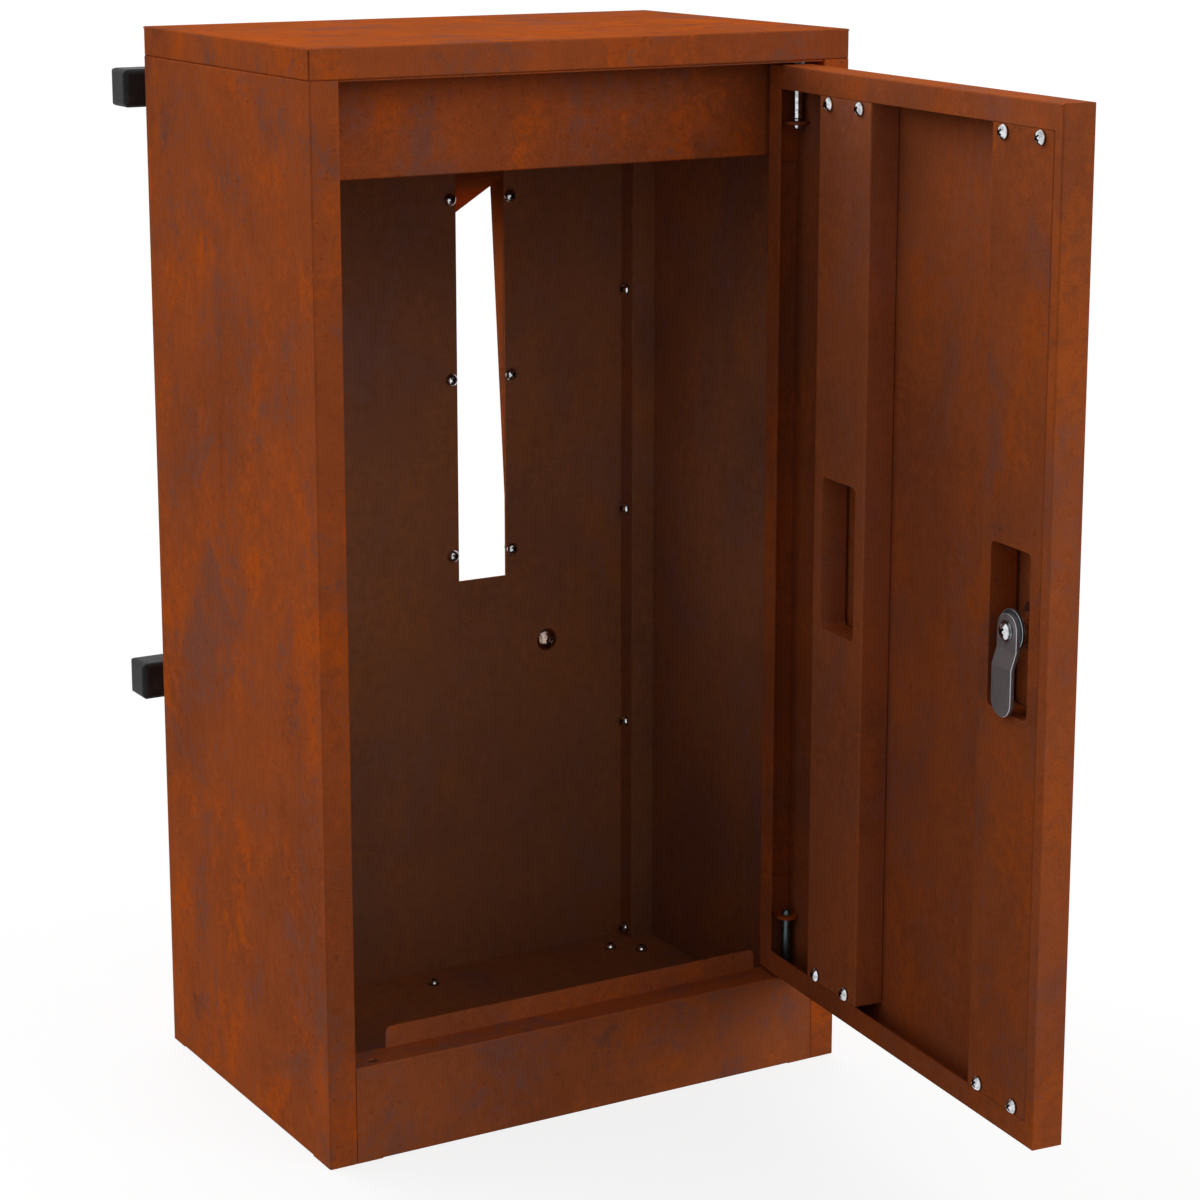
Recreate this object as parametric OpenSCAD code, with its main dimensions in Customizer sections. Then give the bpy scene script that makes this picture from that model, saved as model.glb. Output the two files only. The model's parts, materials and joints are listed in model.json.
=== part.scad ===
// Fence letterbox cabinet in folded sheet steel.
// Letters come in through a tall slot in the rear panel, which faces the fence.
// The door at the front is hung on two pins and shut by a cam lock.
// +X is right, -Y is the door side, +Z is up. The origin is the middle of the base.

/* [Cabinet] */
// Width over the side panels
body_w = 300; // [240:1:420]
// Depth from the front stiles to the rear panel
body_d = 200; // [150:1:320]
// Height over the cap
body_h = 550; // [520:1:800]
// Thickness of every folded sheet
sheet = 0.8; // [0.6:0.1:1.2]
// Inner radius of every fold in the sheets
fold_r = 0.2; // [0.1:0.1:0.5]
// Width of the front stiles and of the rear columns
stile_w = 15; // [12:1:25]
// Depth of the return behind each front stile, and of the threshold's ledge
stile_return = 18; // [15:1:24]
// Depth of the rear columns and of the rear panel's side flanges
column_d = 13; // [11:1:25]
// Width of the flanges that are welded together under the cap
weld_flange = 12; // [10:1:20]
// Gap left between neighbouring sheets that are not folded together
seam = 0.3; // [0.2:0.05:0.5]

/* [Cap, header and threshold] */
// Height of the cap's skirt
cap_h = 15; // [10:1:30]
// Slit left in the cap's skirt at each corner
corner_slit = 0.6; // [0.3:0.1:1]
// Height of the header rail above the door opening
header_h = 49; // [30:1:80]
// How far the header rail's face lies behind the stiles
header_recess = 22; // [21:1:30]
// Width of the flanges at the header rail's lower edge and ends
header_flange = 10; // [6:1:16]
// Height of the threshold
plinth_h = 50; // [30:1:80]
// Height of the lip behind the threshold's ledge
lip_h = 11; // [6:1:20]
// Distance from each stile to the end of the lip
lip_inset = 25; // [20:1:40]
// Radius of the lip's upper corners
lip_r = 3; // [1:0.5:5]

/* [Base] */
// Width of the foot folded under each wall
foot_w = 13; // [10:1:20]
// Height of the ledge that carries the floor panel
floor_rise = 8; // [7:1:14]
// Width of the ledge that carries the floor panel
ledge_w = 14; // [12:1:20]

/* [Letter slot and hood] */
// Width of the letter slot
slot_w = 30; // [25:1:50]
// Height of the letter slot
slot_h = 230; // [200:1:260]
// Slot's middle, measured from the middle of the cabinet
slot_x = 43.75; // [-60:0.25:60]
// Height of the slot's lower edge
slot_z = 236; // [120:1:260]
// Width of the hood's flanges beside and above the slot
hood_flange = 12; // [10:1:20]
// Depth of the hood's cheeks where they meet its roof
cheek_d = 15; // [5:1:20]
// Height above the slot's lower edge at which the cheeks start
cheek_start = 46; // [20:1:80]
// How far the hood's roof stands out from the rear panel
hood_reach = 60; // [30:1:80]
// Slope of the hood's roof below level, in degrees
hood_slope = 24.4; // [15:0.1:40]
// Distance from the slot's upper edge down to the fold of the roof
roof_drop = 4; // [3:0.5:8]
// Distance from the slot's edge to the middle of the hood's screws
hood_screw_out = 3.75; // [3.6:0.05:8]
// Distance from the slot's ends to the nearest hood screws
hood_screw_end = 15; // [10:1:40]
// Hood screws on each side of the slot
hood_screws_a_side = 3; // [2:1:4]

/* [Fence clamps] */
// Side of the square clamp bars
bar_s = 20; // [15:1:30]
// Radius of the clamp bars' edges
bar_r = 3; // [1:0.5:5]
// Gap between the rear panel and the clamp bars, where the fence is held
fence_gap = 28; // [15:1:50]
// Height of the middle of the lower clamp bar
lower_bar_z = 195; // [100:1:210]
// Distance from the top of the cabinet to the middle of the upper clamp bar
upper_bar_drop = 34; // [30:1:60]
// Distance from the side of the cabinet to the clamp bolts
bolt_inset = 65; // [50:1:90]
// Diameter of the clamp bolts
bolt_d = 6; // [5:1:8]
// Diameter of the clamp bolts' domed heads
bolt_head_d = 13; // [11:0.5:18]
// Height of the clamp bolts' domed heads
bolt_head_h = 3.3; // [2.5:0.1:5]
// Width across the flats of the clamp nuts
nut_af = 10; // [9:0.5:13]
// Height of the clamp nuts
nut_h = 5; // [4:0.5:7]

/* [Door] */
// Angle at which the door stands open
door_open = 85; // [0:1:120]
// Depth of the folded door
door_d = 17; // [14:0.5:17]
// Gap between the door and the stiles
side_gap = 2; // [1.7:0.1:3]
// Gap between the door and the cap, and between the door and the threshold
end_gap = 2; // [1.5:0.1:3]
// Width of the door's inner flanges at the top, the bottom and the hinge side
door_flange = 12; // [8:1:13]
// Width of the door's inner flange at the lock side
free_flange = 6; // [4:0.5:10]
// Width of each stiffener
stiff_w = 50; // [46:1:60]
// Distance from the door's hinge edge to the hinge-side stiffener
stiff_from_hinge = 52.5; // [30:0.5:70]
// Width of the feet that join a stiffener to the door's skin
stiff_foot = 6; // [4:0.5:6.5]
// Width of the window in each stiffener
window_w = 33; // [28:1:34]
// Height of the window in each stiffener
window_h = 78; // [60:1:120]
// Radius of the windows' corners
window_r = 3; // [1:0.5:6]
// Gap between the collar around each window and the door's skin
collar_gap = 2; // [2:0.5:6]
// Distance from a stiffener's middle to its screws
stiff_screw_x = 15; // [10:0.5:18]
// Distance from the door's ends to the stiffener screws
stiff_screw_z = 16; // [16:0.5:24]

/* [Hinges] */
// Diameter of the hinge pins
pin_d = 5; // [3:0.5:6]
// Radial play of the pins where they turn
pin_play = 0.06; // [0.03:0.01:0.1]
// Radial gap around the upper pin where it passes through the cap's flange
pin_clear = 1.5; // [1:0.1:1.5]
// Distance from the stile to the hinge line
pivot_in = 12; // [12:0.5:14]
// Distance from the front to the hinge line
pivot_back = 6; // [5.5:0.1:6.2]
// Distance from the door's ends to the hinge brackets
bracket_z = 29.5; // [20:0.5:45]
// Thickness of the hinge brackets
bracket_t = 1.5; // [1:0.1:2]
// Radius of the brackets' round ends, about the pins
ear_r = 5.9; // [5:0.1:7]
// Length of the legs that weld the brackets to the door's edge
bracket_leg = 20; // [12:1:24]
// Diameter of the washers on the hinge pins
hinge_washer_d = 8; // [7:0.5:10]
// How far each pin reaches past the sheet that it turns in
pin_reach = 3; // [2:0.5:5]

/* [Screws] */
// Diameter of the pan-head screws
screw_d = 3.5; // [3:0.1:4]
// Diameter of their heads
screw_head_d = 7; // [6:0.1:7.2]
// Height of their heads
screw_head_h = 3.2; // [2:0.1:3.6]
// Length of the screws that join the panels
screw_l = 9.5; // [8:0.5:12]
// Length of the screws in the floor panel
floor_screw_l = 7; // [5:0.5:7.5]
// Radial play of the screws and bolts in their holes
screw_play = 0.1; // [0.05:0.05:0.3]
// Distance from the cabinet's ends to the rear panel's first screws
side_screw_end = 13.5; // [10:0.5:25]
// Screws along each side of the rear panel
side_screws_a_side = 5; // [3:1:7]
// Distance from the cabinet's corners to the floor panel's first screws
floor_screw_end = 34; // [33:0.5:45]

/* [Cam lock] */
// Diameter of the lock's barrel
lock_d = 16; // [14:1:18]
// Diameter of the lock's face
lock_face_d = 18.5; // [18:0.5:24]
// Thickness of the lock's face
lock_face_t = 2; // [1:0.5:3]
// Length of the barrel behind the door's outer face
lock_l = 14.5; // [12:0.5:15]
// Diameter of the plug that the key turns
plug_d = 12; // [10:0.5:12.5]
// Radial play of the plug in the barrel
plug_play = 0.06; // [0.03:0.01:0.1]
// Side of the square that carries the cam
square_s = 7; // [5:0.5:8]
// Width across the flats of the lock nut
lock_nut_af = 22; // [20:0.5:24]
// Thickness of the lock nut
lock_nut_h = 3; // [2:0.5:4]
// Diameter of the stop ring
stop_ring_d = 20; // [16:0.5:20]
// Thickness of the stop ring
stop_ring_t = 1.4; // [1:0.1:2]
// Width of the cam
cam_w = 16; // [12:1:18]
// Thickness of the cam
cam_t = 2; // [1.5:0.1:3]
// Length of the cam from its screw to its tip
cam_l = 40; // [34:1:41]
// Offset of the cam's crank
cam_offset = 2.5; // [2:0.1:4]
// Distance from the cam's screw to the start and the end of the crank
cam_crank = [9, 16.7]; // [5:0.1:20]
// Diameter of the cam screw's head
cam_screw_head_d = 8; // [7:0.1:9]
// Diameter of the washer under the cam screw
cam_washer_d = 10; // [9:0.5:12]
// Thickness of the washer under the cam screw
cam_washer_t = 0.8; // [0.5:0.1:1]

/* [Hidden] */
$fn = 48;

// Outer faces of the cabinet
left = -body_w / 2;
right = body_w / 2;
front = -body_d / 2;
rear = body_d / 2;
wall_top = body_h - cap_h;
// Half a sheet, the outer radius of a fold, and the height of a folded-on edge strip
half = sheet / 2;
fold_out = fold_r + sheet;
hem = fold_out + 4;
// Half the width of the door opening, and half the length of the base rails across it
open_x = right - stile_w;
rail_x = right - foot_w - ledge_w - 2;
// Ends of the strips folded along the side walls
side_y0 = front + stile_return + 2;
side_y1 = rear - column_d - 2;
// Header rail
header_z = wall_top - header_h;
header_y = front + header_recess;
// Lip behind the threshold
lip_x = open_x - lip_inset;
lip_y = front + stile_return;
// Floor panel
floor_z = floor_rise;
floor_screw_in = foot_w + ledge_w / 2;
// Slot and hood
slot_x0 = slot_x - slot_w / 2;
slot_x1 = slot_x + slot_w / 2;
slot_top = slot_z + slot_h;
hood_fold_z = slot_top - roof_drop;
hood_screw_pitch = (slot_h - 2 * hood_screw_end) / (hood_screws_a_side - 1);
// Clamp bars and bolts
upper_bar_z = body_h - upper_bar_drop;
bar_y0 = rear + fence_gap;
bar_y1 = bar_y0 + bar_s;
bolt_x = right - bolt_inset;
bolt_end = bar_y1 + nut_h + 1;
// Door, in the closed position
door_x = open_x - side_gap;
door_z0 = plinth_h + end_gap;
door_z1 = wall_top - end_gap;
door_mid_z = (door_z0 + door_z1) / 2;
door_in = front + door_d;
skin_in = front + sheet;
pivot = [open_x - pivot_in, front + pivot_back];
hinge_stiff_x = door_x - stiff_from_hinge - stiff_w / 2;
lock_stiff_x = -door_x + free_flange + seam + stiff_w / 2;
stiff_z0 = door_z0 + door_flange + seam;
stiff_z1 = door_z1 - door_flange - seam;
// Sheet tabs that the stiffener screws bite into
tab_w = stiff_w - 2 * fold_out - 2;
tab_hold = 6;
tab_past = 8;
// Hinge pins and washers
ledge_gap = end_gap - 0.1;
flange_gap = end_gap - sheet - 0.1;
upper_bracket_z = door_z1 - bracket_z;
lower_bracket_z = door_z0 + bracket_z;
// Lock, from the door's outer face inwards
lock_x = lock_stiff_x;
lock_back = front + lock_l;
ring_y = lock_back + 0.1;
cam_y = ring_y + stop_ring_t;
cam_face = cam_y + cam_t;
square_end = cam_face - 0.1;
washer_face = cam_face + cam_washer_t;
cam_screw_d = 4;
cam_screw_l = 12;
cam_screw_head_h = 2.6;
square_play = 0.05;
// Colours
rust = [0.47, 0.21, 0.10];
rust_top = [0.62, 0.27, 0.12];
bright = [0.80, 0.81, 0.83];
black_plastic = [0.10, 0.10, 0.11];
cam_grey = [0.33, 0.31, 0.32];

// ---- Shapes shared by several sub-parts ----

function unit(v) = v / norm(v);
function turned(d) = [-d.y, d.x];

// A box given by its lowest and highest corners
module block(low, high) {
    translate(low) cube(high - low);
}

// Extrusions of a flat profile: (y, z) along X, (x, z) along Y and (x, y) along Z
module along_x(x0, x1) {
    translate([x0, 0, 0]) rotate([90, 0, 90]) linear_extrude(x1 - x0) children();
}

module along_y(y0, y1) {
    translate([0, y1, 0]) rotate([90, 0, 0]) linear_extrude(y1 - y0) children();
}

module along_z(z0, z1) {
    translate([0, 0, z0]) linear_extrude(z1 - z0) children();
}

// One straight stretch of a folded strip's section
module leg(a, b, t) {
    d = b - a;
    translate(a) rotate(atan2(d.y, d.x)) translate([0, -t / 2]) square([norm(d), t]);
}

// One fold of a strip's section at corner p, from direction d1 to direction d2
module bend(p, d1, d2, t, r) {
    side = sign(cross(d1, d2));
    run = (r + t / 2) * tan(acos(d1 * d2) / 2);
    centre = p - run * d1 + side * (r + t / 2) * turned(d1);
    u1 = -side * turned(d1) * 2 * (r + t);
    u2 = -side * turned(d2) * 2 * (r + t);
    translate(centre) intersection() {
        difference() {
            circle(r + t);
            circle(r);
        }
        polygon([[0, 0], u1, u1 + u2, u2]);
    }
}

// Section of a folded strip whose mid-line follows the path
module strip(path, t = sheet, r = fold_r) {
    n = len(path) - 1;
    dirs = [for (i = [0 : n - 1]) unit(path[i + 1] - path[i])];
    runs = [for (i = [0 : n]) (i == 0 || i == n) ? 0
        : (r + t / 2) * tan(acos(dirs[i - 1] * dirs[i]) / 2)];
    for (i = [0 : n - 1]) leg(path[i] + runs[i] * dirs[i], path[i + 1] - runs[i + 1] * dirs[i], t);
    for (i = [1 : n - 1]) bend(path[i], dirs[i - 1], dirs[i], t, r);
}

// Flat rectangle with round corners
module round_rect(low, high, r) {
    translate(low + [r, 0]) square(high - low - [2 * r, 0]);
    translate(low + [0, r]) square(high - low - [0, 2 * r]);
    for (x = [low.x + r, high.x - r], y = [low.y + r, high.y - r]) translate([x, y]) circle(r);
}

// Box with the edges of its -Z and +Z faces rounded, as under a folded lid
module lid_form(low, high, r) {
    intersection() {
        along_y(low.y, high.y) round_rect([low.x, low.z], [high.x, high.z], r);
        along_x(low.x, high.x) round_rect([low.y, low.z], [high.y, high.z], r);
    }
}

// Box with the edges of its -Y and +Y faces rounded, as in a folded door
module door_form(low, high, r) {
    intersection() {
        along_z(low.z, high.z) round_rect([low.x, low.y], [high.x, high.y], r);
        along_x(low.x, high.x) round_rect([low.y, low.z], [high.y, high.z], r);
    }
}

// Foot, riser and ledge folded under a wall whose outer face is at edge
function base_rail(edge, inward) = [
    [edge + inward * half, hem],
    [edge + inward * half, half],
    [edge + inward * foot_w, half],
    [edge + inward * foot_w, floor_rise - half],
    [edge + inward * (foot_w + ledge_w), floor_rise - half]];

// Flange folded inwards at the top of a wall whose outer face is at edge
function top_flange(edge, inward) = [
    [edge + inward * half, wall_top - hem],
    [edge + inward * half, wall_top - half],
    [edge + inward * weld_flange, wall_top - half]];

// Pan head with a cross recess, standing on z = 0
module pan_head(d, h) {
    rim = 0.35 * h;
    rise = h - rim;
    dome = ((d / 2) * (d / 2) + rise * rise) / (2 * rise);
    difference() {
        intersection() {
            cylinder(d = d, h = h);
            translate([0, 0, h - dome]) sphere(dome);
        }
        for (turn = [45, 135]) rotate(turn)
            translate([-0.28 * d, -0.07 * d, 0.35 * h]) cube([0.56 * d, 0.14 * d, h]);
    }
}

// Pointed sheet screw: head on z = 0 and upwards, shank below
module sheet_screw(length) {
    pan_head(screw_head_d, screw_head_h);
    translate([0, 0, screw_d - length]) cylinder(d = screw_d, h = length - screw_d);
    translate([0, 0, -length]) cylinder(d1 = 0.6, d2 = screw_d, h = screw_d);
}

// Hole for a sheet screw, along Z on both sides of z = 0
module screw_hole(depth = 5) {
    translate([0, 0, -depth]) cylinder(r = screw_d / 2 + screw_play, h = 2 * depth);
}

// Places its children at a height on the door, pointing out of its inner face
module on_door(x, y, z) {
    translate([x, y, z]) rotate([-90, 0, 0]) children();
}

// Turns what is drawn in the closed position to where the door stands
module hung() {
    translate(pivot) rotate(door_open) translate(-pivot) children();
}

// Places of the screws
module at_hood_screws() {
    for (x = [slot_x0 - hood_screw_out, slot_x1 + hood_screw_out], i = [0 : hood_screws_a_side - 1])
        translate([x, rear - sheet, slot_z + hood_screw_end + i * hood_screw_pitch])
            rotate([90, 0, 0]) children();
}

module at_side_screws(side) {
    pitch = (wall_top - 2 * side_screw_end) / (side_screws_a_side - 1);
    for (i = [0 : side_screws_a_side - 1])
        translate([side * (open_x - sheet), rear - column_d / 2 + half, side_screw_end + i * pitch])
            rotate([0, -side * 90, 0]) children();
}

module at_floor_screws() {
    edge_y = rear - floor_screw_in;
    edge_x = right - floor_screw_in;
    end_y = rear - floor_screw_end + 2;
    for (x = [floor_screw_end - right, 0, right - floor_screw_end], y = [-edge_y, edge_y])
        translate([x, y, floor_z + sheet]) children();
    for (x = [-edge_x, edge_x], y = [-end_y, 0, end_y])
        translate([x, y, floor_z + sheet]) children();
}

module at_clamp_bolts() {
    for (x = [-bolt_x, bolt_x], z = [lower_bar_z, upper_bar_z])
        translate([x, rear - sheet, z]) rotate([-90, 0, 0]) children();
}

module at_stiffener_screws(xc) {
    for (x = [xc - stiff_screw_x, xc + stiff_screw_x], z = [door_z0 + stiff_screw_z, door_z1 - stiff_screw_z])
        on_door(x, door_in, z) children();
}

// ---- Cabinet ----

// Shallow tray upside down, with flanges under its skirt and a slit at each corner
module top_cap() color(rust_top) {
    low = [left, front, wall_top];
    high = [right, rear, body_h];
    skin = [sheet, sheet, sheet];
    difference() {
        lid_form(low, high, fold_out);
        lid_form(low + skin, high - skin, fold_r);
        block([left + weld_flange, front + weld_flange, wall_top - 1],
              [right - weld_flange, rear - weld_flange, wall_top + 2 * sheet]);
        for (x = [0, 1], y = [0, 1]) mirror([x, 0, 0]) mirror([0, y, 0])
            block([left - 1, front - 1, wall_top - 1],
                  [left + corner_slit, front + fold_out + seam, body_h - fold_out]);
        for (x = [-pivot.x, pivot.x])
            translate([x, pivot.y, wall_top - 1]) cylinder(r = pin_d / 2 + pin_clear, h = 3);
    }
}

// Wall with a front stile, a closed rear column, a base rail and a top flange
module side_panel() {
    stile_x = left + stile_w - half;
    difference() {
        along_z(0, wall_top) strip([
            [stile_x, front + stile_return],
            [stile_x, front + half],
            [left + half, front + half],
            [left + half, rear - half],
            [stile_x, rear - half],
            [stile_x, rear - column_d + half],
            [left + sheet + seam, rear - column_d + half]]);
        block([left - 1, side_y0, -1], [left + 2 * sheet, side_y1, hem]);
        block([left - 1, side_y0, wall_top - hem], [left + 2 * sheet, side_y1, wall_top + 1]);
        at_side_screws(-1) screw_hole();
    }
    along_y(side_y0, side_y1) strip(base_rail(left, 1));
    along_y(side_y0, side_y1) strip(top_flange(left, 1));
}

module drilled_side() {
    difference() {
        side_panel();
        at_floor_screws() screw_hole(3);
    }
}

module left_side() color(rust) drilled_side();

module right_side() color(rust) mirror([1, 0, 0]) drilled_side();

// Rail above the door: set back, flanged forward over the door to carry the upper pin
module header_rail() color(rust) {
    path = [
        [header_y + header_flange, header_z + half],
        [header_y + half, header_z + half],
        [header_y + half, wall_top - half],
        [front + sheet + seam, wall_top - half]];
    wing = [
        [open_x, header_y + half],
        [right - sheet - half, header_y + half],
        [right - sheet - half, header_y + header_flange]];
    difference() {
        along_x(-open_x, open_x) strip(path);
        for (x = [-pivot.x, pivot.x])
            translate([x, pivot.y, wall_top - 2]) cylinder(r = pin_d / 2 + pin_play, h = 4);
    }
    for (side = [0, 1]) mirror([side, 0, 0])
        along_z(header_z + fold_out, wall_top - fold_out) strip(wing);
}

// Plinth, ledge and lip below the door, with a base rail and the lower pin's holes
module threshold() color(rust) {
    difference() {
        union() {
            difference() {
                along_x(-open_x, open_x) strip([
                    [front + half, 0],
                    [front + half, plinth_h - half],
                    [lip_y + sheet, plinth_h - half]]);
                block([-rail_x, front - 1, -1], [rail_x, front + 2 * sheet, hem]);
                block([-lip_x, lip_y + sheet - hem, plinth_h - 2 * sheet], [lip_x, lip_y + 2, plinth_h + 1]);
            }
            along_x(-rail_x, rail_x) strip(base_rail(front, 1));
            intersection() {
                along_x(-lip_x, lip_x) strip([
                    [lip_y + sheet - hem, plinth_h - half],
                    [lip_y + half, plinth_h - half],
                    [lip_y + half, plinth_h + lip_h]]);
                along_y(lip_y - hem, lip_y + 2)
                    round_rect([-lip_x, plinth_h - 3 * lip_r], [lip_x, plinth_h + lip_h], lip_r);
            }
        }
        for (x = [-pivot.x, pivot.x])
            translate([x, pivot.y, plinth_h - 2]) cylinder(r = pin_d / 2 + pin_play, h = 4);
        at_floor_screws() screw_hole(3);
    }
}

// Flat sheet on the base rails, cut away around the stiles and the rear columns
module floor_panel() color(rust) {
    wall = right - sheet - seam;
    difference() {
        block([-wall, front + sheet + seam, floor_z], [wall, rear - sheet - seam, floor_z + sheet]);
        for (side = [0, 1]) mirror([side, 0, 0]) {
            block([left, front, floor_z - 1], [-open_x + seam, side_y0, floor_z + 2]);
            block([left, rear - column_d - seam, floor_z - 1], [-open_x + sheet + seam, rear, floor_z + 2]);
        }
        at_floor_screws() screw_hole(3);
    }
}

// Panel with the letter slot, flanged forward at its sides and folded at both ends
module rear_panel() color(rust) {
    flange_x = open_x - fold_out - seam;
    difference() {
        union() {
            difference() {
                along_z(0, wall_top) strip([
                    [half - open_x, rear - column_d],
                    [half - open_x, rear - half],
                    [open_x - half, rear - half],
                    [open_x - half, rear - column_d]]);
                block([-rail_x, rear - 2 * sheet, -1], [rail_x, rear + 1, hem]);
                block([-flange_x, rear - 2 * sheet, wall_top - hem], [flange_x, rear + 1, wall_top + 1]);
            }
            along_x(-rail_x, rail_x) strip(base_rail(rear, -1));
            along_x(-flange_x, flange_x) strip(top_flange(rear, -1));
        }
        block([slot_x0, rear - 5, slot_z], [slot_x1, rear + 5, slot_top]);
        at_hood_screws() screw_hole();
        for (side = [-1, 1]) at_side_screws(side) screw_hole();
        at_clamp_bolts() translate([0, 0, -5]) cylinder(r = bolt_d / 2 + screw_play, h = 10);
        at_floor_screws() screw_hole(3);
    }
}

// Hood outside the slot: a flat frame, two tapered cheeks and a sloping roof
module slot_hood() color(rust) {
    frame_y = rear + half;
    frame_top = slot_top + hood_flange;
    roof_run = hood_reach - half;
    roof = [
        [frame_y, frame_top],
        [frame_y, hood_fold_z],
        [frame_y + roof_run, hood_fold_z - roof_run * tan(hood_slope)]];
    difference() {
        union() {
            along_x(slot_x0 - hood_flange, slot_x0 - fold_out) hood_frame_side();
            along_x(slot_x1 + fold_out, slot_x1 + hood_flange) hood_frame_side();
            along_x(slot_x0 - fold_out, slot_x1 + fold_out) strip([roof[0], [frame_y, slot_top]]);
            along_x(slot_x0, slot_x1) strip(roof);
            intersection() {
                union() {
                    hood_cheek(slot_x0, -1);
                    hood_cheek(slot_x1, 1);
                }
                along_x(slot_x0 - hood_flange, slot_x1 + hood_flange) cheek_outline();
            }
        }
        at_hood_screws() screw_hole();
    }
}

module hood_frame_side() {
    translate([rear, slot_z]) square([sheet, slot_h + hood_flange]);
}

// Side view of a cheek: nothing at its start, its full depth under the roof
module cheek_outline() {
    top_y = rear + cheek_d;
    polygon([
        [rear - 1, slot_z],
        [rear + sheet, slot_z],
        [rear + sheet, slot_z + cheek_start],
        [top_y, hood_fold_z - cheek_d * tan(hood_slope)],
        [rear + sheet, hood_fold_z],
        [rear + sheet, slot_top],
        [rear - 1, slot_top]]);
}

module hood_cheek(edge, outward) {
    along_z(slot_z, slot_top) strip([
        [edge + outward * fold_out * 1.5, rear + half],
        [edge + outward * half, rear + half],
        [edge + outward * half, rear + cheek_d + 1]]);
}

// ---- Fasteners and clamps of the cabinet ----

module hood_screws() color(bright) at_hood_screws() sheet_screw(screw_l);

module rear_panel_screws() color(bright)
    for (side = [-1, 1]) at_side_screws(side) sheet_screw(screw_l);

module floor_screws() color(bright) at_floor_screws() sheet_screw(floor_screw_l);

// Square bar with rounded edges and ends, bored for its two bolts
module clamp_bar(z) {
    low = [left, bar_y0, z - bar_s / 2];
    high = [right, bar_y1, z + bar_s / 2];
    difference() {
        intersection() {
            along_x(low.x, high.x) round_rect([low.y, low.z], [high.y, high.z], bar_r);
            along_y(low.y, high.y) round_rect([low.x, low.z], [high.x, high.z], bar_r);
            along_z(low.z, high.z) round_rect([low.x, low.y], [high.x, high.y], bar_r);
        }
        for (x = [-bolt_x, bolt_x]) translate([x, bar_y0 - 1, z]) rotate([-90, 0, 0])
            cylinder(r = bolt_d / 2 + screw_play, h = bar_s + 2);
    }
}

module upper_clamp_bar() color(black_plastic) clamp_bar(upper_bar_z);

module lower_clamp_bar() color(black_plastic) clamp_bar(lower_bar_z);

// Bolts with a domed head and a six-sided socket, from inside the rear panel to the bars
module clamp_bolts() color(bright) at_clamp_bolts() {
    r = bolt_head_d / 2;
    dome = (r * r + bolt_head_h * bolt_head_h) / (2 * bolt_head_h);
    difference() {
        intersection() {
            translate([0, 0, dome - bolt_head_h]) sphere(dome);
            translate([0, 0, -bolt_head_h]) cylinder(r = r, h = bolt_head_h);
        }
        translate([0, 0, -bolt_head_h - 1]) cylinder(d = 4.6, h = 3, $fn = 6);
    }
    cylinder(d = bolt_d, h = bolt_end - rear + sheet);
}

// A nut behind the rear panel and a nut behind the bar on every clamp bolt
module clamp_nuts() color(bright) at_clamp_bolts()
    for (y = [sheet, sheet + fence_gap + bar_s]) translate([0, 0, y]) difference() {
        cylinder(d = nut_af / cos(30), h = nut_h, $fn = 6);
        translate([0, 0, -1]) cylinder(r = bolt_d / 2 + screw_play, h = nut_h + 2);
    }

// ---- Door ----

// Folded tray with inner flanges, and tabs behind the flanges for the stiffener screws
module door_shell() color(rust) hung() {
    low = [-door_x, front, door_z0];
    high = [door_x, door_in, door_z1];
    skin = [sheet, sheet, sheet];
    difference() {
        union() {
            difference() {
                door_form(low, high, fold_out);
                door_form(low + skin, high - skin, fold_r);
                block([low.x + free_flange, door_in - 2 * sheet, low.z + door_flange],
                      [high.x - door_flange, door_in + 1, high.z - door_flange]);
            }
            for (x = [hinge_stiff_x, lock_stiff_x]) {
                screw_tab(x, door_z0 + door_flange - tab_hold);
                screw_tab(x, door_z1 - stiff_screw_z - tab_past);
            }
        }
        translate([pivot.x, pivot.y, door_z0 - 1]) cylinder(r = pin_d / 2 + pin_play, h = 3);
        translate([pivot.x, pivot.y, door_z1 - 2]) cylinder(r = pin_d / 2 + pin_play, h = 3);
        for (x = [hinge_stiff_x, lock_stiff_x]) at_stiffener_screws(x) screw_hole();
        on_door(lock_x, front, door_mid_z) translate([0, 0, -1]) cylinder(r = lock_d / 2 + screw_play, h = 3);
    }
}

module screw_tab(xc, z) {
    tab_h = stiff_screw_z + tab_past - door_flange + tab_hold;
    block([xc - tab_w / 2, door_in - 2 * sheet, z], [xc + tab_w / 2, door_in - sheet, z + tab_h]);
}

// Hat section from flange to flange, with a collared window at its middle
module stiffener(xc) {
    x0 = xc - stiff_w / 2 + half;
    x1 = xc + stiff_w / 2 - half;
    foot_y = skin_in + half;
    difference() {
        union() {
            along_z(stiff_z0, stiff_z1) strip([
                [x0 + stiff_foot, foot_y],
                [x0, foot_y],
                [x0, door_in - half],
                [x1, door_in - half],
                [x1, foot_y],
                [x1 - stiff_foot, foot_y]]);
            along_y(skin_in + collar_gap, door_in - half) window(xc, sheet);
        }
        along_y(skin_in, door_in + 1) window(xc, 0);
        at_stiffener_screws(xc) screw_hole();
    }
}

// Outline of a stiffener's window, grown by a margin
module window(xc, margin) {
    size = [window_w / 2 + margin, window_h / 2 + margin];
    round_rect([xc, door_mid_z] - size, [xc, door_mid_z] + size, window_r + margin);
}

module hinge_stiffener() color(rust) hung() stiffener(hinge_stiff_x);

module lock_stiffener() color(rust) hung() stiffener(lock_stiff_x);

module stiffener_screws() color(bright) hung()
    for (x = [hinge_stiff_x, lock_stiff_x]) at_stiffener_screws(x) sheet_screw(screw_l);

// ---- Hinges ----

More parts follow.
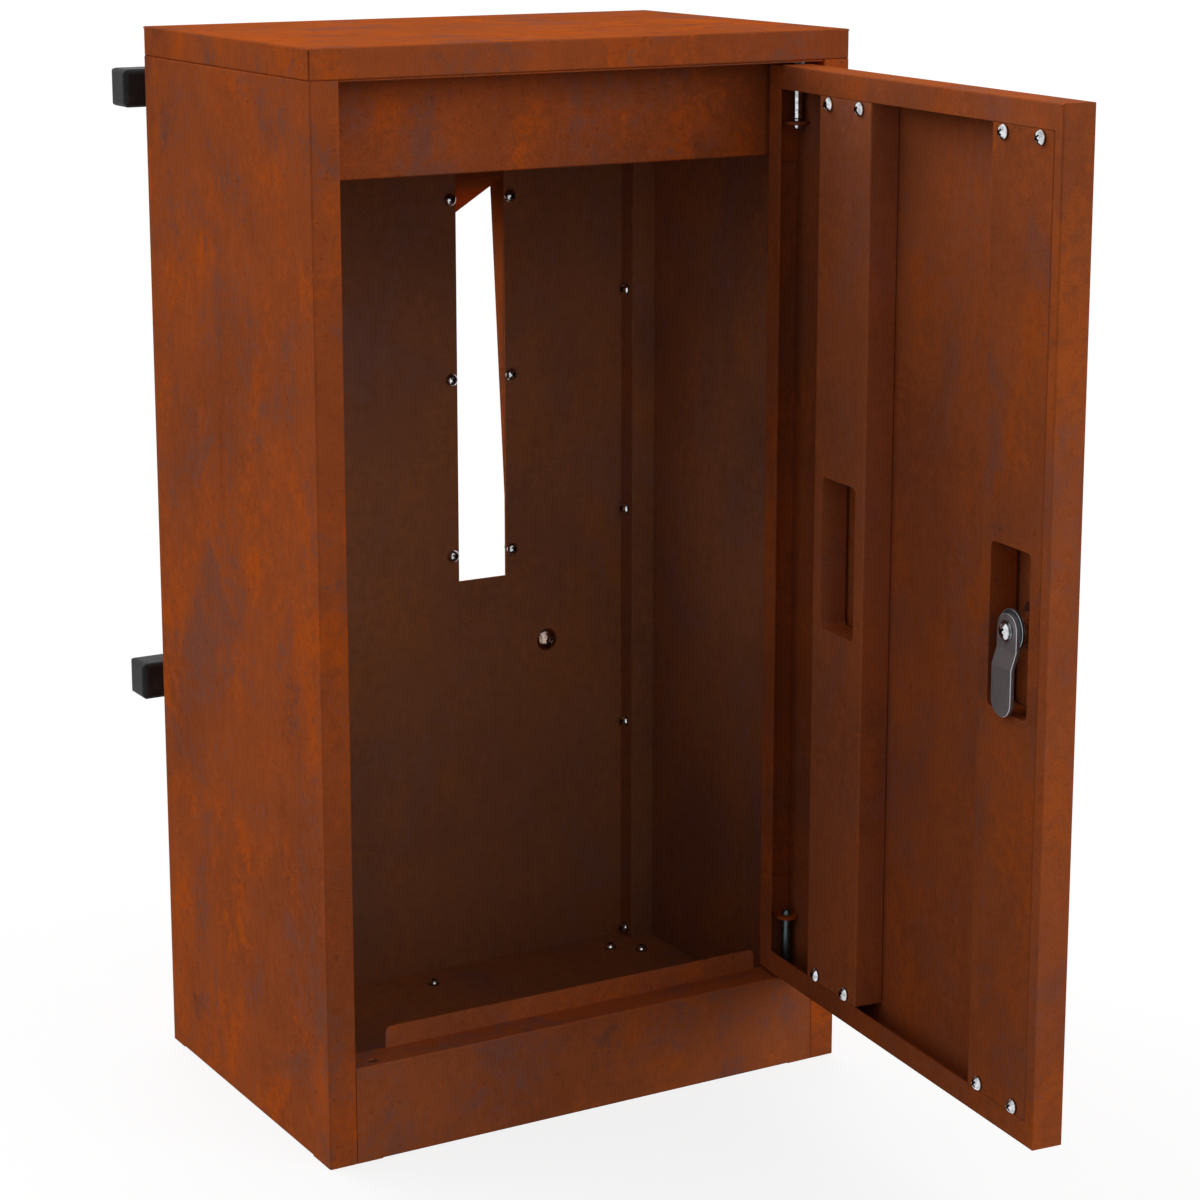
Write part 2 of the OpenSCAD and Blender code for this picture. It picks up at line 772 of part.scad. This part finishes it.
// Angle welded into the door's hinge edge: a level ear that steadies the pin, and a leg
module hinge_bracket(z, leg_way) {
    x1 = door_x - sheet - bracket_t / 2;
    difference() {
        intersection() {
            along_y(skin_in + fold_r, pivot.y + ear_r) strip([
                [pivot.x - ear_r - 1, z],
                [x1, z],
                [x1, z + leg_way * bracket_leg]], bracket_t, bracket_t / 2);
            along_z(z - bracket_leg - 1, z + bracket_leg + 1) ear_outline();
        }
        translate([pivot.x, pivot.y, z - 2]) cylinder(r = pin_d / 2 + pin_play, h = 4);
    }
}

// A bracket seen from above: round about the pin, straight to the door's edge
module ear_outline() {
    translate(pivot) circle(ear_r);
    translate([pivot.x, pivot.y - ear_r]) square([door_x - pivot.x, 2 * ear_r]);
}

module upper_hinge_bracket() color(rust) hung() hinge_bracket(upper_bracket_z, -1);

module lower_hinge_bracket() color(rust) hung() hinge_bracket(lower_bracket_z, 1);

// Plain pin with a rounded inner end and a groove beside the bracket
module hinge_pin(z_in, z_out, way) {
    r = pin_d / 2;
    length = abs(z_out - z_in);
    translate([pivot.x, pivot.y, z_in]) mirror([0, 0, way < 0 ? 1 : 0]) difference() {
        union() {
            translate([0, 0, r]) cylinder(r = r, h = length - r);
            translate([0, 0, r]) sphere(r);
        }
        translate([0, 0, pin_reach + bracket_t + 1]) difference() {
            cylinder(r = r + 1, h = 0.8);
            translate([0, 0, -1]) cylinder(r = 0.75 * r, h = 3);
        }
    }
}

module upper_hinge_pin() color(bright) hung()
    hinge_pin(upper_bracket_z - bracket_t / 2 - pin_reach, wall_top + pin_reach, 1);

module lower_hinge_pin() color(bright) hung()
    hinge_pin(lower_bracket_z + bracket_t / 2 + pin_reach, plinth_h - sheet - pin_reach, -1);

// Washers that keep the door clear of the header rail and the threshold
module hinge_washers() color(bright) hung() {
    pin_washer(door_z1, flange_gap);
    pin_washer(door_z0 - ledge_gap, ledge_gap);
}

module pin_washer(z, t) {
    translate([pivot.x, pivot.y, z]) difference() {
        cylinder(d = hinge_washer_d, h = t);
        translate([0, 0, -1]) cylinder(r = pin_d / 2 + pin_play, h = t + 2);
    }
}

// ---- Cam lock ----

// Round face and barrel, bored for the plug
module lock_body() color(cam_grey) hung() on_door(lock_x, front, door_mid_z) difference() {
    union() {
        translate([0, 0, -lock_face_t]) cylinder(d = lock_face_d, h = lock_face_t);
        cylinder(d = lock_d, h = lock_l);
    }
    translate([0, 0, -lock_face_t - 1]) cylinder(r = plug_d / 2 + plug_play, h = lock_l + lock_face_t + 2);
}

module lock_nut() color(bright) hung() on_door(lock_x, skin_in, door_mid_z) difference() {
    cylinder(d = lock_nut_af / cos(30), h = lock_nut_h, $fn = 6);
    translate([0, 0, -1]) cylinder(r = lock_d / 2 + screw_play, h = lock_nut_h + 2);
}

// Plug with a key slot in its face and a square behind for the stop ring and the cam
module lock_plug() color(bright) hung() on_door(lock_x, front, door_mid_z) difference() {
    union() {
        translate([0, 0, -lock_face_t]) cylinder(d = plug_d, h = ring_y - front + lock_face_t);
        translate([-square_s / 2, -square_s / 2, ring_y - front])
            cube([square_s, square_s, square_end - ring_y]);
    }
    translate([-0.9, -3.5, -lock_face_t - 1]) cube([1.8, 7, 7]);
    translate([0, 0, square_end - front - cam_screw_l]) cylinder(d = cam_screw_d + 0.1, h = cam_screw_l + 1);
}

module square_hole() {
    s = square_s + 2 * square_play;
    translate([-s / 2, -s / 2, -1]) cube([s, s, 10]);
}

// Ring with a notch that stops the turn after a quarter
module lock_stop_ring() color(cam_grey) hung() on_door(lock_x, ring_y, door_mid_z) difference() {
    cylinder(d = stop_ring_d, h = stop_ring_t);
    square_hole();
    translate([plug_d / 2 + 1, 0, -1]) cube([stop_ring_d, stop_ring_d, 5]);
}

// Side view of the cam: flat at its screw, cranked inwards, and flat again at its tip
module cam_section() {
    bends = [[0, cam_w / 2], [0, -cam_crank[0]], [cam_offset, -cam_crank[1]], [cam_offset, -cam_l]];
    outer = [for (p = bends) [cam_y, door_mid_z] + p];
    inner = [for (i = [len(bends) - 1 : -1 : 0]) [cam_face, door_mid_z] + bends[i]];
    polygon(concat(outer, inner));
}

// Cranked flat cam with round ends, hanging down at rest
module lock_cam() color(cam_grey) hung() difference() {
    intersection() {
        along_x(lock_x - cam_w / 2, lock_x + cam_w / 2) cam_section();
        along_y(cam_y - 1, cam_face + cam_offset + 1) round_rect(
            [lock_x - cam_w / 2, door_mid_z - cam_l],
            [lock_x + cam_w / 2, door_mid_z + cam_w / 2], cam_w / 2 - 0.5);
    }
    on_door(lock_x, cam_y, door_mid_z) square_hole();
}

module cam_washer() color(bright) hung() on_door(lock_x, cam_face, door_mid_z) difference() {
    cylinder(d = cam_washer_d, h = cam_washer_t);
    translate([0, 0, -1]) cylinder(d = cam_screw_d + 0.2, h = 3);
}

module cam_screw() color(bright) hung() on_door(lock_x, washer_face, door_mid_z) {
    pan_head(cam_screw_head_d, cam_screw_head_h);
    translate([0, 0, -cam_screw_l]) cylinder(d = cam_screw_d, h = cam_screw_l);
}

top_cap();
left_side();
right_side();
header_rail();
threshold();
floor_panel();
rear_panel();
slot_hood();
hood_screws();
rear_panel_screws();
floor_screws();
upper_clamp_bar();
lower_clamp_bar();
clamp_bolts();
clamp_nuts();
door_shell();
hinge_stiffener();
lock_stiffener();
stiffener_screws();
upper_hinge_bracket();
lower_hinge_bracket();
upper_hinge_pin();
lower_hinge_pin();
hinge_washers();
lock_body();
lock_nut();
lock_plug();
lock_stop_ring();
lock_cam();
cam_washer();
cam_screw();
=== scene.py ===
"""Looks of the fence letterbox cabinet: its rust-patterned coat, bright screws, dark lock and black clamp bars.

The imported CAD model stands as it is. This script gives every node its finish, and adds the floor, light and camera.
Lengths are in metres and angles in degrees, in the CAD model's own frame."""

import json
import math

import bpy
from mathutils import Euler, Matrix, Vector


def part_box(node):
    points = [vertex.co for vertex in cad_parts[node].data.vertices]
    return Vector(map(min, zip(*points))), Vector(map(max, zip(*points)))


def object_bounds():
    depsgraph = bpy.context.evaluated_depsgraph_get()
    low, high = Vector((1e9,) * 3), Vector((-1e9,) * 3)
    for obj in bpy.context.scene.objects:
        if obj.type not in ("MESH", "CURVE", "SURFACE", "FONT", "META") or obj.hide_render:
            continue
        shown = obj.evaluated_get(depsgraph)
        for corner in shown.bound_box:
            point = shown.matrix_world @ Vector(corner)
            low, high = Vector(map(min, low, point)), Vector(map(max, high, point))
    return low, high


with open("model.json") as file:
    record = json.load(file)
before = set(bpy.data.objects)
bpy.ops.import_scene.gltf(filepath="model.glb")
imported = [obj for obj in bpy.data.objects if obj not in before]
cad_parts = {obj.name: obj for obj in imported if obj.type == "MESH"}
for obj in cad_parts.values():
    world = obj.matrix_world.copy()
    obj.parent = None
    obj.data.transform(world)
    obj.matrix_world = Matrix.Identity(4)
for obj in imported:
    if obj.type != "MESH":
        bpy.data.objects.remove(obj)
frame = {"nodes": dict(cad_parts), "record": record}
cad_low, cad_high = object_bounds()

# ---------------------------------------------------------------- camera

VIEWPOINT = Vector((-0.7508, -1.3961, 0.6447))
YAW, PITCH = 30.22, 12.2
LENS, SENSOR = 92.6, 36.0
SHIFT_Y = -0.08


def make_camera():
    """A long lens in front of the cabinet's left corner, turned right by YAW and down by PITCH."""
    data = bpy.data.cameras.new("camera")
    data.lens, data.sensor_width, data.shift_y = LENS, SENSOR, SHIFT_Y
    camera = bpy.data.objects.new("camera", data)
    camera.location = VIEWPOINT
    camera.rotation_euler = Euler((math.radians(90 - PITCH), 0, math.radians(-YAW)))
    bpy.context.scene.collection.objects.link(camera)
    bpy.context.scene.camera = camera


# ---------------------------------------------------------------- node graphs

USUAL_NOISE = (0.3, 0.7)  # nearly all of a noise's values lie between these


class Graph:
    """Writes a node tree in few words: each method makes nodes and returns an output socket."""

    def __init__(self, tree):
        self.tree = tree

    def make(self, kind, output=0, inputs=(), **settings):
        """A node of a kind, with its settings, and with its inputs by name or number."""
        node = self.tree.nodes.new(kind)
        for name, value in settings.items():
            setattr(node, name, value)
        for key, value in dict(inputs).items():
            self.feed(node.inputs[key], value)
        return node.outputs[output]

    def feed(self, socket, value):
        """A socket takes a value, or a link if the value is itself a socket."""
        if isinstance(value, bpy.types.NodeSocket):
            self.tree.links.new(value, socket)
        else:
            socket.default_value = value

    def noise(self, place, scale, detail=3.0, roughness=0.55, distortion=0.0):
        inputs = {"Vector": place, "Scale": scale, "Detail": detail, "Roughness": roughness}
        inputs["Distortion"] = distortion
        return self.make("ShaderNodeTexNoise", inputs=inputs, normalize=True)

    def stretch(self, place, scale=(1, 1, 1), shift=(0, 0, 0)):
        """A place multiplied by a scale and then shifted."""
        return self.make("ShaderNodeMapping", inputs={0: place, "Location": shift, "Scale": scale})

    def axis(self, vector, number):
        """One of a vector's three numbers."""
        return self.make("ShaderNodeSeparateXYZ", number, {0: vector})

    def ramp(self, value, low, high, to_low=0.0, to_high=1.0):
        """A value's stretch from low to high, smoothed and mapped to another stretch."""
        inputs = {0: value, 1: low, 2: high, 3: to_low, 4: to_high}
        return self.make("ShaderNodeMapRange", inputs=inputs, interpolation_type="SMOOTHSTEP")

    def spread(self, noise, to_low, to_high):
        """A noise's usual values mapped to another stretch."""
        return self.ramp(noise, *USUAL_NOISE, to_low, to_high)

    def math(self, operation, a, b=0.0):
        return self.make("ShaderNodeMath", inputs={0: a, 1: b}, operation=operation)

    def times(self, a, b):
        return self.math("MULTIPLY", a, b)

    def grey(self, value):
        """A colour with one value in all three channels."""
        return self.make("ShaderNodeCombineColor", inputs={0: value, 1: value, 2: value})

    def mix(self, factor, a, b, blend="MIX"):
        """Two colours, or two places, mixed by a factor."""
        inputs = {0: factor, 6: a, 7: b}
        return self.make("ShaderNodeMix", 2, inputs, data_type="RGBA", blend_type=blend)

    def bump(self, height, distance, strength=1.0, normal=None):
        inputs = {"Height": height, "Distance": distance, "Strength": strength}
        if normal is not None:
            inputs["Normal"] = normal
        return self.make("ShaderNodeBump", inputs=inputs)


def srgb(red, green, blue):
    """A colour from its 0 to 255 display values."""
    linear = [((v / 255 + 0.055) / 1.055) ** 2.4 if v > 10 else v / 255 / 12.92 for v in (red, green, blue)]
    return (*linear, 1.0)


def scaled(colour, red, green, blue):
    """A colour with its red, green and blue each multiplied."""
    return (colour[0] * red, colour[1] * green, colour[2] * blue, 1.0)


def new_material(name):
    """A material, its graph, the piece's own coordinates and its main shader."""
    material = bpy.data.materials.new(name)
    material.use_nodes = True
    graph = Graph(material.node_tree)
    shader = material.node_tree.nodes["Principled BSDF"]
    place = graph.make("ShaderNodeTexCoord", "Object")
    return material, graph, place, shader


# ---------------------------------------------------------------- the rust coat

RUST = srgb(168, 84, 43)
BROWN = srgb(152, 77, 42)
ORANGE = srgb(190, 87, 26)
SLATE = srgb(134, 80, 62)
PIT = srgb(100, 52, 35)
FLECK = srgb(206, 94, 28)

# Its noises: scale, detail, roughness and distortion.
CLOUDS = (8.0, 4.0, 0.55, 0.4)
GRIT = (170.0, 6.0, 0.76)
STREAKS = (150.0, 5.0, 0.66)
GRAINS = (1300.0, 2.0, 0.6)
PITS = (330.0, 4.0, 0.70)
FLECKS = (260.0, 5.0, 0.72)
PATCH_DETAIL = (6.0, 0.60, 0.5)

# Its layers of patches, the lowest one first: colour, strength, the noise's shift and scale, and the values of the
# noise at which a patch begins and is full.
PATCHES = (
    (ORANGE, 0.80, (4.1, 2.3, 0.7), 21.0, 0.47, 0.68),
    (SLATE, 0.90, (1.9, 6.1, 3.3), 24.0, 0.50, 0.70),
    (PIT, 0.40, (8.3, 0.9, 5.7), 15.0, 0.58, 0.76),
)
SPECKS = (0.59, 0.72)  # values of a noise at which a pit or a fleck begins and is full
PIT_STRENGTH, FLECK_STRENGTH = 0.55, 0.50
FLECK_SHIFT = (7.7, 2.3, 4.1)
CLOUD_EDGE = (0.34, 0.62)  # values of the clouds' noise for brown and for the rust colour
FRAY = 0.85  # how far the grit moves the patches' edges
GRIT_SHADE, STREAK_SHADE, GRAIN_SHADE = 0.60, 0.035, 0.09  # how much each one lightens and darkens the coat
PATCH_DRAW, STREAK_DRAW = 0.66, 0.30  # down a wall the patches and streaks are longer, by one over this
LEVEL_FACE = (0.6, 0.8)  # the upright part of the normal, from a wall's to a level face's
LEVEL_ORANGE = 0.25  # level faces are this much more orange: partly the coat's own tone, partly painted light on them
COAT_ROUGHNESS = (0.62, 0.80)
COAT_GRAIN = 0.00005  # height of its bumps

# Inside the cabinet the coat takes a painted shade tone, greyer than outside, as a factor on its red, green and blue,
# and its patches are calmer, by a factor on them. The painted shade is darker towards the floor and lighter towards
# the top, by a factor that goes from the first tone to the second between two heights.
INNER_SHADE_TONE = (1.02, 1.68, 2.85)
INNER_CALM = 0.45
FLOOR_SHADE_HEIGHTS, FLOOR_SHADE_TONES = (0.05, 0.46), (0.86, 1.18)

# Some nodes differ: how much of the inside's painted shade tone and calm they take everywhere, a factor on brightness
# that paints light on some and shade on others, and one on the patches.
SHADE_AND_CALM_SHARE = {"hinge_stiffener": 0.28, "lock_stiffener": 0.10, "door_shell": 0.12, "threshold": 0.20}
LIGHT_AND_SHADE_FACTOR = {"hinge_stiffener": 1.12, "lock_stiffener": 0.90, "floor_panel": 1.05}
CALM = {"door_shell": 0.65, "hinge_stiffener": 0.50, "lock_stiffener": 0.80, "rear_panel": 0.90}


def within(g, place, low, high):
    """1 where a place lies in the box from low to high, and 0 elsewhere."""
    inside = 1.0
    for number in range(3):
        value = g.axis(place, number)
        inside = g.times(inside, g.math("GREATER_THAN", value, low[number]))
        inside = g.times(inside, g.math("LESS_THAN", value, high[number]))
    return inside


def rust_coat(name, shift, room, node):
    """A matt rust coat: brown clouds under frayed orange and slate patches, with specks, pits and grain.

    The shift gives each sheet a pattern of its own, and room is the inside of the cabinet, as a box, where the coat
    takes a painted shade tone."""
    material, g, place, shader = new_material(name)
    inner = g.math("MAXIMUM", within(g, place, *room), SHADE_AND_CALM_SHARE.get(node, 0.0))
    calm = g.times(g.ramp(inner, 0.0, 1.0, 1.0, INNER_CALM), CALM.get(node, 1.0))
    # Painted shade inside: darker towards the floor, lighter towards the top.
    floor_shade = g.ramp(g.axis(place, 2), *FLOOR_SHADE_HEIGHTS, *FLOOR_SHADE_TONES)
    place = g.make("ShaderNodeVectorMath", inputs={0: place, 1: shift}, operation="ADD")
    upright = g.axis(g.make("ShaderNodeTexCoord", "Normal"), 2)
    level = g.ramp(g.math("ABSOLUTE", upright), *LEVEL_FACE)
    # The coordinates are squeezed in height on the walls, which draws the pattern out there.
    drawn = g.mix(level, g.stretch(place, (1.0, 1.0, PATCH_DRAW)), place)
    hung = g.mix(level, g.stretch(place, (1.0, 1.0, STREAK_DRAW)), place)
    grit = g.noise(place, *GRIT)
    fray = g.times(g.math("SUBTRACT", grit, 0.5), FRAY)

    def patch(shift, scale, low, high):
        """Patches of a noise, with edges that the grit frays."""
        field = g.noise(g.stretch(drawn, shift=shift), scale, *PATCH_DETAIL)
        return g.ramp(g.math("ADD", field, fray), low, high)

    def lay(coat, amount, strength, colour):
        """The coat with a colour laid over it, as far as it is calm there."""
        return g.mix(g.times(g.times(amount, strength), calm), coat, colour)

    colour = g.mix(g.ramp(g.noise(place, *CLOUDS), *CLOUD_EDGE), BROWN, RUST)
    # Level faces are more orange: partly their own tone, partly painted light.
    colour = g.mix(g.times(level, LEVEL_ORANGE), colour, ORANGE)
    for tint, strength, offset, scale, low, high in PATCHES:
        colour = lay(colour, patch(offset, scale, low, high), strength, tint)
    pits = g.noise(place, *PITS)
    colour = lay(colour, g.ramp(pits, *SPECKS), PIT_STRENGTH, PIT)
    flecks = g.noise(g.stretch(drawn, shift=FLECK_SHIFT), *FLECKS)
    colour = lay(colour, g.ramp(flecks, *SPECKS), FLECK_STRENGTH, FLECK)

    streaks = g.spread(g.noise(hung, *STREAKS), 1.0 - STREAK_SHADE, 1.0 + STREAK_SHADE)
    grains = g.noise(place, *GRAINS)
    value = g.math("ADD", streaks, g.spread(grains, -GRAIN_SHADE, GRAIN_SHADE))
    # Some sheets' brightness takes a factor of painted light or painted shade.
    value = g.times(g.math("ADD", value, g.times(fray, GRIT_SHADE)), LIGHT_AND_SHADE_FACTOR.get(node, 1.0))
    colour = g.mix(1.0, colour, g.grey(value), "MULTIPLY")
    # Inside, the colour takes the painted shade tone.
    tone = g.make("ShaderNodeCombineColor", inputs={i: g.times(floor_shade, INNER_SHADE_TONE[i]) for i in range(3)})
    colour = g.mix(inner, colour, tone, "MULTIPLY")
    g.feed(shader.inputs["Base Color"], colour)
    g.feed(shader.inputs["Roughness"], g.spread(grit, *COAT_ROUGHNESS))
    shader.inputs["Specular IOR Level"].default_value = 0.0
    relief = g.math("ADD", g.times(grains, 0.6), g.times(grit, 0.4))
    g.feed(shader.inputs["Normal"], g.bump(relief, COAT_GRAIN, 0.6))
    return material


# ---------------------------------------------------------------- the metals and the black bars

# the colour of the painted shade in the plates' recesses and at their foot
RECESS_SHADE = srgb(38, 32, 30)
RECESS_SHADE_REACH = 0.0016  # how far from another face the painted shade reaches
# the colour of the lightened edges: partly wear, partly a painted highlight
WORN_EDGE_AND_HIGHLIGHT = srgb(226, 224, 228)
DUST, BLACK = srgb(53, 53, 54), srgb(39, 40, 42)


def bright_plate(name, tint, roughness, dents):
    """Plated steel: clouds, fine marks and shallow dents in the polish, and painted shade in its recesses and at its
    foot.
    """
    material, g, place, shader = new_material(name)
    clouds = g.noise(place, 420.0, 3.0)
    marks = g.noise(place, 2600.0, 2.0)
    hollow = g.make("ShaderNodeAmbientOcclusion", "AO", {"Distance": RECESS_SHADE_REACH}, samples=8)
    colour = g.mix(g.ramp(clouds, 0.36, 0.62), scaled(tint, 0.55, 0.54, 0.53), tint)
    # Painted shade: the colour darkens where other faces are near, in recesses and at the foot.
    colour = g.mix(g.ramp(hollow, 0.92, 0.45), colour, RECESS_SHADE)
    g.feed(shader.inputs["Base Color"], colour)
    g.feed(shader.inputs["Roughness"], g.spread(marks, roughness * 0.7, roughness * 1.4))
    shader.inputs["Metallic"].default_value = 1.0
    g.feed(shader.inputs["Normal"], g.bump(marks, 0.00001, 0.5, g.bump(clouds, dents)))
    return material


def satin_grey(name, tint, metallic, edge):
    """Dark satin metal: brushed from top to bottom, with brighter worn spots, and edges lightened as wide as edge,
    partly by wear and partly by a painted highlight.
    """
    material, g, place, shader = new_material(name)
    brushed = g.noise(g.stretch(place, (1.0, 1.0, 0.06)), 2200.0, 3.0)
    worn = g.noise(place, 320.0, 4.0, 0.65)
    light = scaled(tint, 1.6, 1.6, 1.6)
    colour = g.mix(g.spread(brushed, 0.0, 0.35), tint, light)
    colour = g.mix(g.ramp(worn, 0.60, 0.75, 0.0, 0.5), colour, light)
    # Near an edge the rounded normal turns away from the face's own.
    rounded = g.make("ShaderNodeBevel", inputs={"Radius": edge}, samples=8)
    flat = g.make("ShaderNodeNewGeometry", "Normal")
    turned = g.make("ShaderNodeVectorMath", "Value", {0: rounded, 1: flat}, operation="DOT_PRODUCT")
    # The edges are lightened: partly wear, partly a painted highlight along them.
    colour = g.mix(g.ramp(turned, 0.99, 0.85, 0.0, 0.85), colour, WORN_EDGE_AND_HIGHLIGHT)
    g.feed(shader.inputs["Base Color"], colour)
    g.feed(shader.inputs["Roughness"], g.spread(brushed, 0.34, 0.48))
    shader.inputs["Metallic"].default_value = metallic
    g.feed(shader.inputs["Normal"], g.bump(brushed, 0.00002, 0.4, rounded))
    return material


def black_coat(name):
    """Black coated tube: a fine orange-peel grain and faint dust, which is slightly paler and rougher."""
    material, g, place, shader = new_material(name)
    peel = g.noise(place, 900.0, 2.0)
    dust = g.noise(place, 60.0, 5.0, 0.65)
    g.feed(shader.inputs["Base Color"], g.mix(g.ramp(dust, 0.42, 0.70), BLACK, DUST))
    g.feed(shader.inputs["Roughness"], g.spread(dust, 0.45, 0.62))
    shader.inputs["Specular IOR Level"].default_value = 0.12
    g.feed(shader.inputs["Normal"], g.bump(peel, 0.00008, 0.5))
    return material


# ---------------------------------------------------------------- the nodes' finishes

SHADE_METAL_NODES = ("lock_stop_ring", "lower_hinge_pin")  # painted shade: a dark steel stands for the shade and dark reflections these lie in, darker than their record slots' finish
SKIN = 0.0005  # the inner room begins this far inside the sheets' outer faces
PATTERN_STEP = (0.37, 0.91, 0.53)  # from one sheet's pattern to the next one's


def give(material, node):
    """A CAD node takes a material in each of its slots, or in a first one if it has none."""
    piece = frame["nodes"][node]
    if not piece.material_slots:
        piece.data.materials.append(material)
    for place in piece.material_slots:
        place.link = "OBJECT"
        place.material = material


def finish_nodes():
    """Every node takes the finish of its record slot, but for SHADE_METAL_NODES. Each rust sheet has its own pattern."""
    slots = {part["node"]: part["material_slot"] for part in frame["record"]["subparts"]}
    bright = bright_plate("bright_screw", srgb(226, 228, 232), 0.18, 0.00003)
    steel = bright_plate("clamp_steel", srgb(186, 164, 150), 0.16, 0.0003)
    grey = satin_grey("lock_grey", srgb(142, 139, 142), 0.8, 0.0007)
    # A dark steel as painted shade for the shaded lock ring and lower hinge pin.
    shade_steel = satin_grey("painted_shade_steel", srgb(84, 92, 95), 0.9, 0.0005)
    black = black_coat("black_coat")
    shared = {"bright_screw": bright, "clamp_steel": steel, "lock_grey": grey, "black_plastic": black}
    low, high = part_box("left_side")[0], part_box("right_side")[1]
    header_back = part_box("header_rail")[1].y
    room = ((low.x + SKIN, header_back, low.z + SKIN), (high.x - SKIN, high.y - SKIN, high.z - SKIN))
    for number, (node, slot) in enumerate(slots.items()):
        if slot == "rust_coat":
            shift = [step * number for step in PATTERN_STEP]
            give(rust_coat("rust_" + node, shift, room, node), node)
        else:
            give(shade_steel if node in SHADE_METAL_NODES else shared[slot], node)


# ---------------------------------------------------------------- floor and light

FLOOR_SIZE = 60.0
FLOOR_GREY = 0.20
FLOOR_GLOW = 0.83  # what lifts the lit floor to white where it is seen
# Large soft boxes around the cabinet: each one's bearing, from 0 in front over 90 at the left, and its strength.
SOFT_BOXES = ((45, 0.38), (135, 1.22), (180, 3.1), (315, 2.10))
BOX_RISE = 15.0
BOX_FOCUS = 3.0  # a higher power makes each box narrower


def seen_directly(g):
    """1 for the rays that show a picture: those of the camera, of mirrors and of glass."""
    outputs = g.tree.nodes.new("ShaderNodeLightPath").outputs
    seen = g.math("MAXIMUM", outputs["Is Camera Ray"], outputs["Is Glossy Ray"])
    return g.math("MAXIMUM", seen, outputs["Is Transmission Ray"])


def make_floor():
    """A pale floor that keeps the cabinet's shadow: what is seen of it is lifted to white where it is fully lit."""
    half = FLOOR_SIZE / 2
    mesh = bpy.data.meshes.new("floor")
    corners = [(-half, -half), (half, -half), (half, half), (-half, half)]
    mesh.from_pydata([(x, y, cad_low.z) for x, y in corners], [], [(0, 1, 2, 3)])
    floor = bpy.data.objects.new("floor", mesh)
    bpy.context.scene.collection.objects.link(floor)
    material, g, place, shader = new_material("floor")
    tone = g.spread(g.noise(place, 3.0), FLOOR_GREY * 0.99, FLOOR_GREY)
    g.feed(shader.inputs["Base Color"], g.grey(tone))
    shader.inputs["Roughness"].default_value = 1.0
    shader.inputs["Specular IOR Level"].default_value = 0.0
    shader.inputs["Emission Color"].default_value = (1, 1, 1, 1)
    g.feed(shader.inputs["Emission Strength"], g.times(seen_directly(g), FLOOR_GLOW))
    mesh.materials.append(material)


def make_sky():
    """A studio sky: white where it is seen, and as a light the sum of the soft boxes."""
    world = bpy.data.worlds.new("studio")
    world.use_nodes = True
    g = Graph(world.node_tree)
    way = g.make("ShaderNodeTexCoord", "Generated")
    rise = math.radians(BOX_RISE)
    light = 0.0
    for bearing, strength in SOFT_BOXES:
        turn = math.radians(bearing)
        aim = (-math.sin(turn) * math.cos(rise), -math.cos(turn) * math.cos(rise), math.sin(rise))
        facing = g.make("ShaderNodeVectorMath", "Value", {0: way, 1: aim}, operation="DOT_PRODUCT")
        glow = g.math("POWER", g.math("MAXIMUM", facing, 0.0), BOX_FOCUS)
        light = g.math("ADD", light, g.times(glow, strength))
    background = world.node_tree.nodes["Background"]
    background.inputs["Color"].default_value = (1, 1, 1, 1)
    lit = g.make("ShaderNodeMix", 0, {0: seen_directly(g), 2: light, 3: 1.0}, data_type="FLOAT")
    g.feed(background.inputs["Strength"], lit)
    bpy.context.scene.world = world


bpy.context.scene.view_settings.view_transform = "Standard"
make_camera()
finish_nodes()
make_floor()
make_sky()
